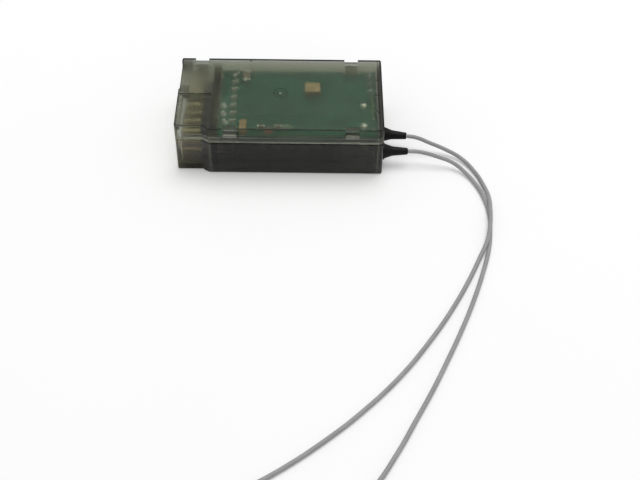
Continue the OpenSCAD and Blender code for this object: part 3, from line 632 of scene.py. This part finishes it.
green_board = laminate("green_board", (0.014, 0.13, 0.082), (0.026, 0.185, 0.12), 0.013)
black_board = laminate("black_board", (0.012, 0.018, 0.016), (0.022, 0.032, 0.028), 0.021)
header_plastic = moulded("header_plastic", (0.028, 0.028, 0.032), 0.5)
gold = plated_pins()
tinned = metal("tinned_strip", (0.74, 0.74, 0.72), 0.3, stretch=(0.3, 3, 3))
solder = metal("solder", (0.55, 0.55, 0.52), 0.45, grain_mm=0.5, depth_mm=0.015, gloss=0.4)
bright_solder = metal("bright_solder", (1, 1, 0.98), 0.4, grain_mm=0.5, depth_mm=0.02, gloss=0.6)
wide_solder = metal("wide_solder", (1, 1, 0.98), 0.65, grain_mm=0.5, depth_mm=0.01, gloss=0.15)
can = metal("tinned_can", (0.62, 0.62, 0.6), 0.34, grain_mm=0.25, stretch=(0.2, 3, 3))
rubber = moulded("boot_rubber", (0.006, 0.006, 0.006), 0.5, grain_mm=0.3, specular=0.2)
grey_jacket = jacket("grey_jacket", (0.38, 0.38, 0.38), 0.38, 2.5)
bare_core = jacket("bare_core", (0.78, 0.78, 0.74), 0.3, 4)

finishes = {
    "base_shell": base_plastic(), "lid": lid_plastic(),
    "main_board": green_board, "radio_board": black_board,
    "header_block": header_plastic, "link_header": header_plastic,
    "signal_pins": gold, "power_pins": gold, "ground_pins": gold, "link_pins": gold,
    "power_bus": tinned, "ground_bus": tinned,
    "signal_solder": solder, "supply_solder": wide_solder, "link_solder": solder,
    "coax_solder_back": bright_solder, "coax_solder_front": bright_solder,
    "tantalum_capacitor": plated_ends(
        "tan_block", [((6.7, 3.3), 0, 1.65, 0.2)], (0.6, 0.44, 0.23), 0.42, 9.7),
    "small_tantalum": plated_ends(
        "tan_small", [((-7.5, -8.6), 1, 1.6, 0.2)], (0.5, 0.34, 0.17), 0.42, 9.7),
    "ceramic_capacitors": plated_ends("ceramic", [
        ((-7.4, 7.5), 1, 1.6, 0.5), ((-3.8, -8.3), 0, 0.8, 0.3), ((-0.2, -8.3), 0, 0.8, 0.3),
    ], (0.3, 0.24, 0.18), 0.5),
    "chip_resistors": plated_ends("film", [
        ((13, 0.6), 0, 0.5, 0.25), ((7.9, -8.3), 0, 0.8, 0.3), ((10.5, -8.3), 0, 0.8, 0.3),
    ], (0.02, 0.02, 0.022), 0.3),
    "red_led": resin("red_lens", (0.4, 0.12, 0.1)),
    "green_led": resin("green_lens", (0.3, 0.42, 0.32)),
    "processor_chip": legged("processor", (1.4, 2.5), (3.5, 3.5)),
    "voltage_regulator": legged("regulator", (-4.95, -5.25), (2.25, 1.25)),
    "radio_chip": legged("radio_epoxy", (1.5, -3.3), (2.5, 2.5)),
    "processor_crystal": can, "radio_shield": can, "radio_crystal": can,
    "coax_lead_back": grey_jacket, "coax_lead_front": grey_jacket,
    "antenna_boot_back": rubber, "antenna_boot_front": rubber,
}
for name, material in finishes.items():
    nodes[name].data.materials.clear()
    nodes[name].data.materials.append(material)
for side in ("back", "front"):
    jackets[side].data.materials.append(grey_jacket)
    tips[side].data.materials.append(bare_core)


RING_Z = 9.45
rings = ring_row_tree(metal("ring_plate", (0.85, 0.72, 0.42), 0.28))
ring_row("ring_row_back", rings, Start=mm(-5.6, 9.6, RING_Z), Step=mm(1.27, 0, 0), Count=13)
ring_row("ring_row_front", rings, Start=mm(-5.2, -9.98, RING_Z), Step=mm(1.27, 0, 0), Count=13, Seed=3)
ring_row("ring_row_right", rings, Start=mm(19.45, -8, RING_Z), Step=mm(0, 1.4, 0), Count=8, Seed=5)
ring_row("ring_row_middle", rings, Start=mm(-7.2, -4.6, RING_Z), Step=mm(1.9, 0.95, 0), Count=5,
         Radius=0.16*MM, Seed=11)


# Floor, light and world -----------------------------------------------------------------

FLOOR_GLOW = 0.2


def floor_material():
    """Pale floor that keeps the shadow, and is white where it is seen."""
    s = Shader("floor")
    cloud = s.noise(60, detail=2)
    diffuse = s.principled(
        Base_Color=s.mix(cloud, (0.94, 0.94, 0.94), (0.96, 0.96, 0.96)), Roughness=0.9,
        Specular_IOR_Level=0.1,
    )
    seen = s.add("ShaderNodeLightPath", out="Is Camera Ray")
    glow = s.add("ShaderNodeEmission", inputs={"Color": (1, 1, 1), "Strength": seen*FLOOR_GLOW})
    return s.surface(s.add("ShaderNodeAddShader", inputs={0: diffuse, 1: glow}))


def make_floor():
    mesh = bpy.data.meshes.new("floor")
    r, z = 4, -0.03*MM
    mesh.from_pydata([(-r, -r, z), (r, -r, z), (r, r, z), (-r, r, z)], [], [(0, 1, 2, 3)])
    floor = bpy.data.objects.new("floor", mesh)
    floor.data.materials.append(floor_material())
    bpy.context.scene.collection.objects.link(floor)


def area_light(name, place, size, watts):
    """Soft square light that faces the object."""
    data = bpy.data.lights.new(name, "AREA")
    data.shape, data.size, data.energy = "SQUARE", size, watts
    light = bpy.data.objects.new(name, data)
    light.location = place
    light.rotation_euler = (-Vector(place)).to_track_quat("-Z", "Y").to_euler()
    bpy.context.scene.collection.objects.link(light)


make_floor()
area_light("top_light", (0.15, 0.28, 1.0), 0.8, 5.3)

world = bpy.data.worlds.new("world")
bpy.context.scene.world = world
world.use_nodes = True
world.node_tree.nodes["Background"].inputs["Color"].default_value = (1, 1, 1, 1)
world.node_tree.nodes["Background"].inputs["Strength"].default_value = 0.45
bpy.context.scene.view_settings.view_transform = "Standard"
